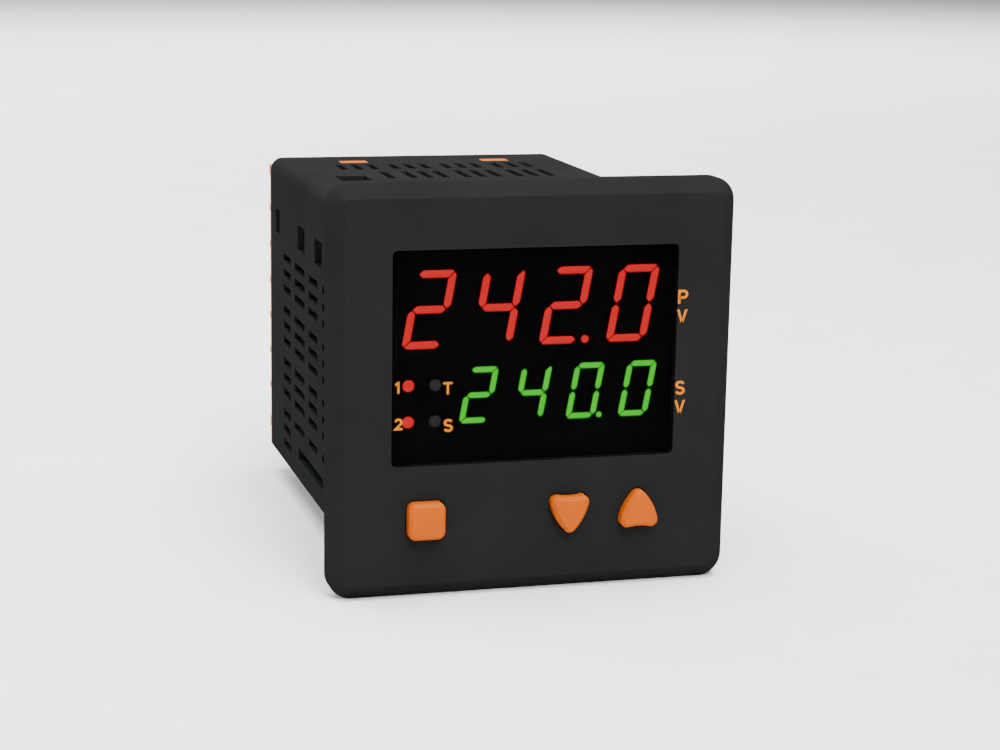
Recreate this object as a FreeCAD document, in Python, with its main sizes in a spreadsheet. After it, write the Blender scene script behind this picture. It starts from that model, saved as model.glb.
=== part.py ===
import FreeCAD, Part

import math
import os
import re

import Sketcher
from FreeCAD import Vector

# A panel instrument with a 96 mm square bezel, a vented case behind it and a
# screw terminal block at its back. The front faces -Y and Z is up. The origin
# is the middle of the bezel's back plane, where it seats on a panel.

doc = FreeCAD.newDocument("TemperatureController")

SIZES = {
    # front bezel: the back plane is at y = 0, the face lies in front of it
    "bezel_side": 96,
    "bezel_rim": 4,
    "bezel_corner": 5.5,
    "bevel_inset": 3.3,
    "bevel_depth": 3,
    "face_corner": 1.5,
    "face_wall": 2.5,
    "core_wall": 2.8,
    "core_depth": 3.4,
    "collar_length": 7,
    "collar_wall": 1.6,
    "snap_width": 8,
    "snap_length": 3,
    "snap_start": 3,
    "snap_offset": 20,
    # clearances
    "fit_gap": 0.2,
    "slide_gap": 0.3,
    "overcut": 1,
    # display window
    "window_width": 67.7,
    "window_height": 49.8,
    "window_rise": 8.1,
    "window_corner": 1.2,
    "lens_recess": 0.2,
    "lens_flange": 1,
    "lens_lip": 1.6,
    "lens_side_gap": 0.75,
    # display board and what stands on it
    "display_plane": 3.6,
    "board_thickness": 1.6,
    "board_side": 71.6,
    "board_rest": 1,
    "hook_upper_rise": 22,
    "hook_lower_rise": -12,
    "ledge_span": 8,
    "barb_side": 1.2,
    "barb_span": 4,
    "module_gap": 0.4,
    "module_side_margin": 1.5,
    "module_end_margin": 1.5,
    "mask_side_gap": 0.35,
    "mask_lip": 0.6,
    "mask_overlap": 0.8,
    "segment_thickness": 0.3,
    "segment_slant": 10,
    "segment_gap": 0.22,
    "upper_digit_height": 18,
    "upper_digit_width": 9.7,
    "upper_digit_pitch": 16.2,
    "upper_stroke": 1.7,
    "upper_digit_rise": 18.8,
    "upper_point_radius": 0.9,
    "upper_point_reach": 1.5,
    "lower_digit_height": 13.1,
    "lower_digit_width": 7.1,
    "lower_digit_pitch": 12.8,
    "lower_stroke": 1.25,
    "lower_digit_rise": -1.5,
    "lower_point_radius": 0.65,
    "lower_point_reach": 1.1,
    "digits_right": 30.6,
    "lamp_radius": 1.4,
    "lamp_left": -29.2,
    "lamp_right": -22.9,
    "lamp_upper_rise": 1.3,
    "lamp_lower_rise": -7.2,
    # buttons
    "button_rise": -29.4,
    "square_reach": -25.8,
    "down_reach": 8.4,
    "up_reach": 25.4,
    "square_side": 8.7,
    "square_corner": 1.8,
    "arrow_side_radius": 14.1,
    "arrow_side_reach": 9.2,
    "arrow_side_rise": 5.45,
    "arrow_top_radius": 11.9,
    "arrow_top_rise": 15.8,
    "arrow_corner": 1.65,
    "button_stand": 2.7,
    "button_crown": 0.8,
    "button_rim_side": 10.4,
    "button_rim_depth": 1,
    "button_travel": 0.8,
    "plunger_side": 3.2,
    "plunger_stand": 1.4,
    "plunger_seat": 0.5,
    "switch_side": 6,
    "switch_height": 3.5,
    # case
    "case_side": 80,
    "case_length": 115,
    "case_wall": 2,
    "case_corner": 3.3,
    "vent_height": 1.9,
    "vent_pitch": 4.15,
    "vent_group_pitch": 14.1,
    "side_vent_rise": -9.45,
    "rear_vent_inset": 29.5,
    "rear_vent_length": 10.2,
    "middle_vent_inset": 49,
    "middle_vent_length": 14,
    "front_vent_inset": 66,
    "front_vent_length": 11.5,
    "first_vent_inset": 83.5,
    "first_vent_length": 11.5,
    "side_window_rise": 24,
    "side_window_height": 6.4,
    "side_window_length": 9.5,
    "first_window_inset": 71.5,
    "second_window_inset": 49,
    "rear_window_inset": 13.5,
    "rear_window_length": 6,
    "top_window_inset": 53,
    "top_window_length": 10,
    "top_window_width": 8,
    "top_window_reach": -27,
    "long_slot_inset": 73.5,
    "long_slot_length": 33,
    "long_slot_rise": -33,
    "long_slot_height": 3,
    "ledge_width": 2.4,
    "ledge_height": 1.4,
    "ledge_start": 12,
    "ledge_inset": 16,
    # rear cover and terminal strips
    "rear_stand": 1,
    "block_top": 37.6,
    "block_foot": 39.8,
    "block_depth": 7.5,
    "cover_wall": 1.8,
    "cover_half_width": 26.8,
    "arm_length": 9.5,
    "arm_half_width": 25,
    "tab_inset": 14.8,
    "tab_length": 4.6,
    "tab_width": 7.4,
    "tab_reach": 19.6,
    "well_depth": 7,
    "well_wall": 1.5,
    "barrier_pitch": 9.9,
    "barrier_thickness": 1.7,
    "end_barrier": 2.8,
    "barrier_stand": 2.6,
    "barrier_slope": 1.2,
    "barrier_rise": 1.25,
    "plate_thickness": 1,
    "clamp_thickness": 1.2,
    "clamp_side": 7,
    "screw_head_radius": 2.8,
    "screw_head_height": 2.2,
    "tail_side": 1.2,
    "tail_inset": 1.4,
    # boards inside the case
    "terminal_board_gap": 2.9,
    "terminal_board_side": 71,
    "main_board_start": 9,
    "main_board_gap": 5,
    "power_board_rise": -36.4,
    "control_board_rise": 29.4,
    "header_width": 30,
    "header_depth": 6,
    "header_height": 2.5,
    # parts on the power board
    "core_reach": 3,
    "core_start": 28,
    "core_width": 30,
    "core_run": 22,
    "core_height": 25,
    "core_leg": 4.5,
    "coil_overhang": 6,
    "relay_left": -12,
    "relay_right": 8,
    "relay_inset": 16,
    "relay_width": 15.5,
    "relay_length": 19,
    "relay_height": 15.5,
    "capacitor_radius": 6.5,
    "capacitor_height": 20,
    "capacitor_inset": 11,
    "capacitor_first": 24,
    "capacitor_second": 40,
    "film_inset": 3,
    "film_end_inset": 44,
    "film_width": 7,
    "film_length": 16,
    "film_height": 9,
    "fuse_inset": 6,
    "fuse_end_inset": 22,
    "fuse_width": 5,
    "fuse_length": 12,
    "fuse_height": 8,
    # parts on the control board
    "chip_side": 14,
    "chip_height": 1.5,
    "chip_middle": 37,
    "converter_reach": 15,
    "converter_inset": 41,
    "converter_width": 6,
    "converter_length": 10,
    "crystal_reach": -14,
    "crystal_width": 4,
    "crystal_length": 10,
    "crystal_height": 3.5,
    "coupler_pitch": 12,
    "coupler_inset": 25,
    "coupler_width": 4.6,
    "coupler_length": 6.5,
    "coupler_height": 4,
}

sheet = doc.addObject("Spreadsheet::Sheet", "Sizes")
for row, (alias, value) in enumerate(SIZES.items(), start=1):
    sheet.set(f"A{row}", alias)
    sheet.set(f"B{row}", str(value))
    sheet.setAlias(f"B{row}", alias)
doc.recompute()

TERMINALS = 7
VENT_GROUPS = 4
VENTS_IN_GROUP = 3
SHORT_COLUMN = (0, 1)
TOP_COLUMNS = 2
COUPLERS = 4
DIGITS = 4
MITRE = 0.25


# places along Y and X that several pieces share
FACE = "-1 * bezel_rim - bevel_depth"
PLATE_BACK = "face_wall - bezel_rim - bevel_depth"
LENS_BACK = f"{PLATE_BACK} + lens_flange + fit_gap"
MODULE_FRONT = f"{PLATE_BACK} + lens_flange + module_gap"
SEGMENT_FRONT = f"{MODULE_FRONT} - segment_thickness"
SWITCH_FRONT = "display_plane - switch_height"
REAR_FACE = "case_length + rear_stand"
BLOCK_FRONT = "case_length - block_depth"
WELL_FLOOR = f"{REAR_FACE} - well_depth"
TERMINAL_PLANE = f"{BLOCK_FRONT} - terminal_board_gap - board_thickness"
MAIN_BOARD_END = f"{TERMINAL_PLANE} - main_board_gap"
INSIDE_HALF = "case_side / 2 - case_wall - fit_gap"
POCKET_HALF = f"{INSIDE_HALF} - collar_wall"
LEDGE_INNER = "board_side / 2 - board_rest"
STRIP_INNER = "cover_half_width + fit_gap"
WELL_OUTER = f"{INSIDE_HALF} - well_wall"
WELL_INNER = f"{STRIP_INNER} + well_wall"
WELL_MIDDLE = f"(({WELL_OUTER}) + ({WELL_INNER})) / 2"
TAIL_MIDDLE = f"{WELL_INNER} + tail_inset"
POWER_TOP = "power_board_rise + board_thickness"
CONTROL_TOP = "control_board_rise + board_thickness"


def bound(text):
    """Turn sheet aliases in an expression into full references."""
    return re.sub(r"[a-z][a-z_]*", lambda match: "Sizes." + match.group(), str(text))


def size(text):
    """The number that an expression of sheet aliases gives."""
    return float(sheet.evalExpression(bound(text)))


# ---------------------------------------------------------------- sketches

def plane_of(body, role):
    return next(f for f in body.Origin.OriginFeatures if f.Role == role)


def new_body(name):
    body = doc.addObject("PartDesign::Body", name)
    body.Label = name
    body.AllowCompound = True
    return body


def new_sketch(body, name, role, start):
    """A sketch on a plane across Y, X or Z, at a given place along that axis."""
    sketch = body.newObject("Sketcher::SketchObject", name)
    sketch.AttachmentSupport = (plane_of(body, role), "")
    sketch.MapMode = "FlatFace"
    sign = "-1" if role == "XZ_Plane" else "1"
    sketch.setExpression("AttachmentOffset.Base.z", bound(f"{sign} * ({start})"))
    return sketch


def bind_last(sketch, text):
    sketch.setExpression(f"Constraints[{sketch.ConstraintCount - 1}]", bound(text))


def place_point(sketch, line, point, x, z):
    sketch.addConstraint(Sketcher.Constraint("DistanceX", -1, 1, line, point, size(x)))
    bind_last(sketch, x)
    sketch.addConstraint(Sketcher.Constraint("DistanceY", -1, 1, line, point, size(z)))
    bind_last(sketch, z)


def draw_rectangle(sketch, left, low, width, height):
    x0, z0 = size(left), size(low)
    x1, z1 = x0 + size(width), z0 + size(height)
    corners = [Vector(x0, z0), Vector(x1, z0), Vector(x1, z1), Vector(x0, z1)]
    first = sketch.GeometryCount
    sketch.addGeometry([Part.LineSegment(corners[i], corners[(i + 1) % 4]) for i in range(4)])
    ties = []
    for i in range(4):
        ties.append(Sketcher.Constraint("Coincident", first + i, 2, first + (i + 1) % 4, 1))
    ties.append(Sketcher.Constraint("Horizontal", first))
    ties.append(Sketcher.Constraint("Horizontal", first + 2))
    ties.append(Sketcher.Constraint("Vertical", first + 1))
    ties.append(Sketcher.Constraint("Vertical", first + 3))
    sketch.addConstraint(ties)
    place_point(sketch, first, 1, left, low)
    sketch.addConstraint(Sketcher.Constraint("DistanceX", first, 1, first, 2, x1 - x0))
    bind_last(sketch, width)
    sketch.addConstraint(Sketcher.Constraint("DistanceY", first + 1, 1, first + 1, 2, z1 - z0))
    bind_last(sketch, height)


def draw_round_square(sketch, half_width, half_height, radius, rise="0"):
    """A rectangle centred on X = 0 with four equal round corners."""
    half_x, half_z, r, mid = size(half_width), size(half_height), size(radius), size(rise)
    arcs = []
    spots = [(1, 1, 0), (-1, 1, 90), (-1, -1, 180), (1, -1, 270)]
    for sx, sz, start in spots:
        centre = Vector(sx * (half_x - r), mid + sz * (half_z - r))
        a0, a1 = math.radians(start), math.radians(start + 90)
        arcs.append(Part.ArcOfCircle(Part.Circle(centre, Vector(0, 0, 1), r), a0, a1))
    lines = []
    for i in range(4):
        lines.append(Part.LineSegment(arcs[i].EndPoint, arcs[(i + 1) % 4].StartPoint))
    first = sketch.GeometryCount
    sketch.addGeometry(arcs + lines)
    ties = []
    for i in range(4):
        line, arc, following = first + 4 + i, first + i, first + (i + 1) % 4
        ties.append(Sketcher.Constraint("Tangent", arc, 2, line, 1))
        ties.append(Sketcher.Constraint("Tangent", line, 2, following, 1))
        ties.append(Sketcher.Constraint("Horizontal" if i % 2 == 0 else "Vertical", line))
        if i:
            ties.append(Sketcher.Constraint("Equal", first, first + i))
    sketch.addConstraint(ties)
    sketch.addConstraint(Sketcher.Constraint("Radius", first, r))
    bind_last(sketch, radius)
    place_point(sketch, first, 3, f"({half_width}) - ({radius})",
                f"({rise}) + ({half_height}) - ({radius})")
    place_point(sketch, first + 2, 3, f"-1 * (({half_width}) - ({radius}))",
                f"({rise}) - (({half_height}) - ({radius}))")


def draw_circle(sketch, x, z, radius):
    first = sketch.GeometryCount
    centre = Vector(size(x), size(z))
    sketch.addGeometry(Part.Circle(centre, Vector(0, 0, 1), size(radius)))
    sketch.addConstraint(Sketcher.Constraint("Radius", first, size(radius)))
    bind_last(sketch, radius)
    place_point(sketch, first, 3, x, z)


def crossing(centre_a, radius_a, centre_b, radius_b, side):
    """Where two circles cross; side picks the crossing left or right of a to b."""
    span = centre_b - centre_a
    distance = span.Length
    along = (distance ** 2 + radius_a ** 2 - radius_b ** 2) / (2 * distance)
    off = math.sqrt(radius_a ** 2 - along ** 2)
    unit = span / distance
    return centre_a + unit * along + Vector(-unit.y, unit.x) * off * side


def draw_arrow(sketch, reach, up, grow="0"):
    """An arrow key's outline: two bowed sides and one hollow end, grown by a gap."""
    sense = "1" if up else "-1"
    flip = -size(sense)
    middle = Vector(size(reach), size("button_rise"))
    side_r = size(f"arrow_side_radius + ({grow})")
    top_r = size(f"arrow_top_radius - ({grow})")
    reach_x, rise_z = size("arrow_side_reach"), flip * size("arrow_side_rise")
    left_c = middle + Vector(reach_x, rise_z)
    right_c = middle + Vector(-reach_x, rise_z)
    top_c = middle + Vector(0, flip * size("arrow_top_rise"))
    tip = crossing(left_c, side_r, right_c, side_r, flip)
    left = crossing(left_c, side_r, top_c, top_r, flip)
    right = crossing(right_c, side_r, top_c, top_r, -flip)

    def arc(centre, radius, start, end):
        a0 = math.atan2(start.y - centre.y, start.x - centre.x)
        a1 = math.atan2(end.y - centre.y, end.x - centre.x)
        if (a1 - a0) % (2 * math.pi) > math.pi:
            a0, a1 = a1, a0
        return Part.ArcOfCircle(Part.Circle(centre, Vector(0, 0, 1), radius), a0, a1)

    first = sketch.GeometryCount
    arcs = [arc(left_c, side_r, left, tip), arc(right_c, side_r, tip, right),
            arc(top_c, top_r, right, left)]
    sketch.addGeometry(arcs)
    for i in range(3):
        for j in range(i + 1, 3):
            for end_i, point_i in ((1, arcs[i].StartPoint), (2, arcs[i].EndPoint)):
                for end_j, point_j in ((1, arcs[j].StartPoint), (2, arcs[j].EndPoint)):
                    if point_i.distanceToPoint(point_j) < 1e-6:
                        sketch.addConstraint(
                            Sketcher.Constraint("Coincident", first + i, end_i, first + j, end_j))
    sketch.addConstraint(Sketcher.Constraint("Radius", first, side_r))
    bind_last(sketch, f"arrow_side_radius + ({grow})")
    sketch.addConstraint(Sketcher.Constraint("Radius", first + 1, side_r))
    bind_last(sketch, f"arrow_side_radius + ({grow})")
    sketch.addConstraint(Sketcher.Constraint("Radius", first + 2, top_r))
    bind_last(sketch, f"arrow_top_radius - ({grow})")
    side_z = f"button_rise - {sense} * arrow_side_rise"
    place_point(sketch, first, 3, f"{reach} + arrow_side_reach", side_z)
    place_point(sketch, first + 1, 3, f"{reach} - arrow_side_reach", side_z)
    place_point(sketch, first + 2, 3, reach, f"button_rise - {sense} * arrow_top_rise")


def draw_square_key(sketch, grow):
    """The square key's outline, centred on its own reach and grown by a gap."""
    half = f"square_side / 2 + ({grow})"
    draw_rectangle(sketch, f"square_reach - ({half})", f"button_rise - ({half})",
                   f"2 * ({half})", f"2 * ({half})")


KEYS = {
    "set": ("square_reach", "square_corner", draw_square_key),
    "down": ("down_reach", "arrow_corner",
             lambda sketch, grow: draw_arrow(sketch, "down_reach", False, grow)),
    "up": ("up_reach", "arrow_corner",
           lambda sketch, grow: draw_arrow(sketch, "up_reach", True, grow)),
}


# ---------------------------------------------------------------- features

def extrude(body, kind, sketch, role, depth):
    """Pad or pocket that runs from its sketch along the positive axis."""
    feature = body.newObject("PartDesign::" + kind, sketch.Name + kind)
    feature.Profile = sketch
    feature.setExpression("Length", bound(depth))
    across_y = role == "XZ_Plane"
    feature.Reversed = across_y if kind == "Pad" else not across_y
    return feature


def prism(body, kind, name, role, start, depth, draw):
    """draw fills the sketch; the solid or cut runs from start to start + depth."""
    sketch = new_sketch(body, name, role, start)
    draw(sketch)
    return extrude(body, kind, sketch, role, depth)


def boxes(rectangles):
    def draw(sketch):
        for left, low, width, height in rectangles:
            draw_rectangle(sketch, left, low, width, height)
    return draw


def discs(circles):
    def draw(sketch):
        for x, z, radius in circles:
            draw_circle(sketch, x, z, radius)
    return draw


def round_edges(body, feature, radius, chosen, name, kind="Fillet"):
    """Fillet or chamfer the edges of a feature that the test picks."""
    doc.recompute()
    names = [f"Edge{i}" for i, edge in enumerate(feature.Shape.Edges, start=1) if chosen(edge)]
    fillet = body.newObject("PartDesign::" + kind, name)
    fillet.Base = (feature, names)
    fillet.setExpression("Radius" if kind == "Fillet" else "Size", bound(radius))
    return fillet


def make_block(name, role, start, depth, draw):
    body = new_body(name)
    prism(body, "Pad", name.title().replace("_", ""), role, start, depth, draw)


def centred(x, z, width, height):
    return (f"({x}) - ({width}) / 2", f"({z}) - ({height}) / 2", width, height)


def runs_along_y(edge):
    box = edge.BoundBox
    return box.YLength > 0.1 and box.XLength < 1e-4 and box.ZLength < 1e-4


def in_plane_y(edge, y):
    box = edge.BoundBox
    return abs(box.YMin - y) < 1e-4 and abs(box.YMax - y) < 1e-4


# ---------------------------------------------------------------- bezel

def make_bezel():
    body = new_body("front_bezel")
    half = "bezel_side / 2"
    prism(body, "Pad", "BezelRim", "XZ_Plane", "-1 * bezel_rim", "bezel_rim",
          lambda s: draw_round_square(s, half, half, "bezel_corner"))
    back = new_sketch(body, "BevelBack", "XZ_Plane", "-1 * bezel_rim")
    draw_round_square(back, half, half, "bezel_corner")
    face = new_sketch(body, "BevelFace", "XZ_Plane", FACE)
    draw_round_square(face, half + " - bevel_inset", half + " - bevel_inset", "face_corner")
    bevel = body.newObject("PartDesign::AdditiveLoft", "Bevel")
    bevel.Profile = back
    bevel.Sections = [face]
    bevel.Ruled = True
    prism(body, "Pad", "Collar", "XZ_Plane", "0", "collar_length",
          lambda s: draw_rectangle(s, f"-1 * ({INSIDE_HALF})", f"-1 * ({INSIDE_HALF})",
                                   f"2 * ({INSIDE_HALF})", f"2 * ({INSIDE_HALF})"))
    seat = "window_width / 2 + lens_lip + lens_side_gap"
    prism(body, "Pocket", "LensSeat", "XZ_Plane", PLATE_BACK, f"{LENS_BACK} - ({PLATE_BACK})",
          lambda s: draw_rectangle(s, f"-1 * ({seat})", f"-1 * ({POCKET_HALF})",
                                   f"2 * ({seat})", f"2 * ({POCKET_HALF})"))
    prism(body, "Pocket", "Hollow", "XZ_Plane", LENS_BACK, f"collar_length - ({LENS_BACK})",
          lambda s: draw_rectangle(s, f"-1 * ({POCKET_HALF})", f"-1 * ({POCKET_HALF})",
                                   f"2 * ({POCKET_HALF})", f"2 * ({POCKET_HALF})"))

    def core(sketch):
        draw_round_square(sketch, half + " - core_wall", half + " - core_wall",
                          "bezel_corner - core_wall")
        draw_rectangle(sketch, "-1 * case_side / 2 - core_wall / 2",
                       "-1 * case_side / 2 - core_wall / 2",
                       "case_side + core_wall", "case_side + core_wall")
    prism(body, "Pocket", "Coring", "XZ_Plane", "-1 * core_depth", "core_depth", core)
    prism(body, "Pocket", "WindowOpening", "XZ_Plane", FACE + " - overcut",
          "face_wall + overcut",
          lambda s: draw_round_square(s, "window_width / 2", "window_height / 2",
                                      "window_corner", "window_rise"))
    reach_of_key = size("up_reach - down_reach") / 2
    for name, (reach, corner, draw) in KEYS.items():
        title = name.title() + "Hole"
        hole = prism(body, "Pocket", title, "XZ_Plane", FACE + " - overcut",
                     "face_wall + overcut", lambda s: draw(s, "slide_gap"))
        x, z = size(reach), size("button_rise")
        round_edges(body, hole, f"{corner} + slide_gap",
                    lambda e: runs_along_y(e) and abs(e.CenterOfMass.x - x) < reach_of_key
                    and abs(e.CenterOfMass.z - z) < reach_of_key, title + "Corners")
    # catches on the collar that click into the case, above and below
    for side, sign in (("Upper", 1), ("Lower", -1)):
        low = INSIDE_HALF if sign > 0 else f"-1 * ({INSIDE_HALF}) - case_wall / 2"
        rectangles = []
        for hand in ("-1", "1"):
            rectangles.append((f"{hand} * snap_offset - snap_width / 2 + fit_gap", low,
                               "snap_width - 2 * fit_gap", "case_wall / 2"))
        prism(body, "Pad", side + "Catch", "XZ_Plane", "snap_start + fit_gap",
              "snap_length - 2 * fit_gap", boxes(rectangles))
    # ledges in front of the display board, and barbs behind it, at both sides
    ledges = []
    barbs = []
    for middle in ("hook_upper_rise", "hook_lower_rise"):
        low = f"{middle} - ledge_span / 2"
        ledges.append((f"-1 * ({POCKET_HALF})", low, f"{POCKET_HALF} - ({LEDGE_INNER})",
                       "ledge_span"))
        ledges.append((LEDGE_INNER, low, f"{POCKET_HALF} - ({LEDGE_INNER})", "ledge_span"))
        low = f"{middle} - barb_span / 2"
        barbs.append((f"-1 * ({POCKET_HALF})", low, "barb_side", "barb_span"))
        barbs.append((f"{POCKET_HALF} - barb_side", low, "barb_side", "barb_span"))
    prism(body, "Pad", "BoardLedges", "XZ_Plane", LENS_BACK, f"display_plane - ({LENS_BACK})",
          boxes(ledges))
    prism(body, "Pad", "BoardBarbs", "XZ_Plane", "display_plane + board_thickness", "barb_side",
          boxes(barbs))


def make_display_window():
    """A dark pane: its front part fills the opening, its flange lies behind the plate."""
    body = new_body("display_window")
    front = f"{FACE} + lens_recess"
    prism(body, "Pad", "Pane", "XZ_Plane", front, f"{PLATE_BACK} - ({front})",
          lambda s: draw_round_square(s, "window_width / 2 - fit_gap / 2",
                                      "window_height / 2 - fit_gap / 2",
                                      "window_corner", "window_rise"))
    prism(body, "Pad", "PaneFlange", "XZ_Plane", PLATE_BACK, "lens_flange",
          lambda s: draw_round_square(s, "window_width / 2 + lens_lip",
                                      "window_height / 2 + lens_lip",
                                      "window_corner", "window_rise"))


# ---------------------------------------------------------------- buttons

def make_button(key):
    """A key cap: crowned front, a rim behind the plate and a post to its switch."""
    reach, corner, draw = KEYS[key]
    body = new_body(key + "_button")
    title = key.title()
    front = f"{FACE} - button_stand"
    rim_front = f"{PLATE_BACK} + slide_gap"
    cap = prism(body, "Pad", title + "Cap", "XZ_Plane", front, f"{rim_front} - ({front})",
                lambda s: draw(s, "0"))
    corners = round_edges(body, cap, corner, runs_along_y, title + "Corners")
    front_y = size(front)
    round_edges(body, corners, "button_crown", lambda e: in_plane_y(e, front_y),
                title + "Crown", "Chamfer")
    prism(body, "Pad", title + "Rim", "XZ_Plane", rim_front, "button_rim_depth",
          boxes([centred(reach, "button_rise", "button_rim_side", "button_rim_side")]))
    post_start = f"{rim_front} + button_rim_depth"
    prism(body, "Pad", title + "Post", "XZ_Plane", post_start,
          f"{SWITCH_FRONT} - plunger_stand - ({post_start})",
          boxes([centred(reach, "button_rise", "plunger_side", "plunger_side")]))


def make_plunger(key):
    """The moving pin of a push switch; the button's post rests on it."""
    reach = KEYS[key][0]
    make_block(key + "_plunger", "XZ_Plane", f"{SWITCH_FRONT} - plunger_stand",
               "plunger_stand + plunger_seat",
               boxes([centred(reach, "button_rise", "plunger_side", "plunger_side")]))


def make_switches():
    """Three square switch housings, each bored for its plunger and its travel."""
    body = new_body("switch_bodies")
    reaches = [reach for reach, corner, draw in KEYS.values()]
    prism(body, "Pad", "SwitchHousings", "XZ_Plane", SWITCH_FRONT, "switch_height",
          boxes([centred(reach, "button_rise", "switch_side", "switch_side")
                 for reach in reaches]))
    bore = "plunger_side + 2 * slide_gap"
    prism(body, "Pocket", "SwitchBores", "XZ_Plane", SWITCH_FRONT,
          "plunger_seat + button_travel + slide_gap",
          boxes([centred(reach, "button_rise", bore, bore) for reach in reaches]))


# ---------------------------------------------------------------- case

def vent_rises(middle, skip=()):
    """Places of the vents across a wall: groups of three about a middle line."""
    rises = []
    for group in range(VENT_GROUPS):
        for vent in range(VENTS_IN_GROUP):
            number = group * VENTS_IN_GROUP + vent
            if number not in skip:
                rises.append(f"{middle} + vent_group_pitch * {group - (VENT_GROUPS - 1) / 2}"
                             f" + vent_pitch * {vent - (VENTS_IN_GROUP - 1) / 2}")
    return rises


def make_case():
    """A square tube, open at both ends, with the same openings in facing walls."""
    body = new_body("case_shell")
    shell = prism(body, "Pad", "CaseTube", "XZ_Plane", "0", "case_length",
                  boxes([("-1 * case_side / 2", "-1 * case_side / 2",
                          "case_side", "case_side")]))
    round_edges(body, shell, "case_corner",
                lambda e: runs_along_y(e) and e.CenterOfMass.z > 0, "CaseTopCorners")
    inner = "case_side / 2 - case_wall"
    prism(body, "Pocket", "CaseHollow", "XZ_Plane", "0", "case_length",
          boxes([(f"-1 * ({inner})", f"-1 * ({inner})", f"2 * ({inner})", f"2 * ({inner})")]))
    across = "case_side / 2 + overcut"
    length_across = "case_side + 2 * overcut"
    columns = (("Rear", "rear_vent_inset", "rear_vent_length", ()),
               ("Middle", "middle_vent_inset", "middle_vent_length", SHORT_COLUMN),
               ("Front", "front_vent_inset", "front_vent_length", SHORT_COLUMN),
               ("First", "first_vent_inset", "first_vent_length", SHORT_COLUMN))
    for name, inset, length, skip in columns:
        rows = [(f"case_length - {inset}", f"{rise} - vent_height / 2", length, "vent_height")
                for rise in vent_rises("side_vent_rise", skip)]
        prism(body, "Pocket", name + "SideVents", "YZ_Plane", f"-1 * ({across})",
              length_across, boxes(rows))
    for name, inset, length, skip in columns[:TOP_COLUMNS]:
        places = [(f"{rise} - vent_height / 2", f"case_length - {inset}", "vent_height", length)
                  for rise in vent_rises("0", skip)]
        prism(body, "Pocket", name + "TopVents", "XY_Plane", f"-1 * ({across})",
              length_across, boxes(places))
    low = "side_window_rise - side_window_height / 2"
    windows = [("case_length - rear_window_inset", low, "rear_window_length", "side_window_height"),
               ("case_length - second_window_inset", low, "side_window_length",
                "side_window_height"),
               ("case_length - first_window_inset", low, "side_window_length",
                "side_window_height"),
               ("case_length - long_slot_inset", "long_slot_rise - long_slot_height / 2",
                "long_slot_length", "long_slot_height")]
    prism(body, "Pocket", "SideWindows", "YZ_Plane", f"-1 * ({across})", length_across,
          boxes(windows))
    openings = [("top_window_reach - top_window_width / 2", "case_length - top_window_inset",
                 "top_window_width", "top_window_length")]
    for hand in ("-1", "1"):
        openings.append((f"{hand} * tab_reach - tab_width / 2 - fit_gap",
                         "case_length - tab_inset - fit_gap",
                         "tab_width + 2 * fit_gap", "tab_length + 2 * fit_gap"))
        openings.append((f"{hand} * snap_offset - snap_width / 2", "snap_start",
                         "snap_width", "snap_length"))
    prism(body, "Pocket", "TopWindows", "XY_Plane", f"-1 * ({across})", length_across,
          boxes(openings))
    ledges = []
    for board in ("power_board_rise", "control_board_rise"):
        ledges.append((f"-1 * ({inner})", f"{board} - ledge_height", "ledge_width",
                       "ledge_height"))
        ledges.append((f"{inner} - ledge_width", f"{board} - ledge_height", "ledge_width",
                       "ledge_height"))
    prism(body, "Pad", "BoardRails", "XZ_Plane", "ledge_start",
          "case_length - ledge_inset - ledge_start",
          boxes(ledges))


# ---------------------------------------------------------------- rear

def make_rear_cover():
    """The middle of the back: a plate with two arms whose tabs click into the case."""
    body = new_body("rear_cover")
    prism(body, "Pad", "CoverBlock", "XZ_Plane", BLOCK_FRONT, f"{REAR_FACE} - ({BLOCK_FRONT})",
          boxes([("-1 * cover_half_width", f"-1 * ({INSIDE_HALF})", "2 * cover_half_width",
                  f"2 * ({INSIDE_HALF})")]))
    prism(body, "Pad", "CoverFoot", "XZ_Plane", "case_length", "rear_stand",
          boxes([("-1 * cover_half_width", "-1 * block_foot", "2 * cover_half_width",
                  "block_foot")]))
    prism(body, "Pocket", "CoverHollow", "XZ_Plane", BLOCK_FRONT,
          f"{REAR_FACE} - cover_wall - ({BLOCK_FRONT})",
          boxes([("cover_wall - cover_half_width", f"cover_wall - ({INSIDE_HALF})",
                  "2 * (cover_half_width - cover_wall)", f"2 * ({INSIDE_HALF} - cover_wall)")]))
    arms = [("-1 * arm_half_width", f"{INSIDE_HALF} - cover_wall", "2 * arm_half_width",
             "cover_wall"),
            ("-1 * arm_half_width", f"-1 * ({INSIDE_HALF})", "2 * arm_half_width",
             "cover_wall")]
    prism(body, "Pad", "CoverArms", "XZ_Plane", f"{BLOCK_FRONT} - arm_length", "arm_length",
          boxes(arms))
    tabs = []
    for hand in ("-1", "1"):
        tabs.append((f"{hand} * tab_reach - tab_width / 2", INSIDE_HALF, "tab_width",
                     f"case_side / 2 - ({INSIDE_HALF})"))
        tabs.append((f"{hand} * tab_reach - tab_width / 2", "-1 * case_side / 2", "tab_width",
                     f"case_side / 2 - ({INSIDE_HALF})"))
    prism(body, "Pad", "CoverTabs", "XZ_Plane", "case_length - tab_inset", "tab_length",
          boxes(tabs))


def well_rise(number):
    """Height of a terminal's middle, counted from the lowest."""
    return f"barrier_rise + barrier_pitch * {number - (TERMINALS - 1) / 2}"


def mirrored_box(hand, inner_x, outer_x, low, height):
    """A rectangle between two distances from the middle, on one side of it."""
    left = f"-1 * ({outer_x})" if hand < 0 else f"{inner_x}"
    return (left, low, f"({outer_x}) - ({inner_x})", height)


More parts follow.
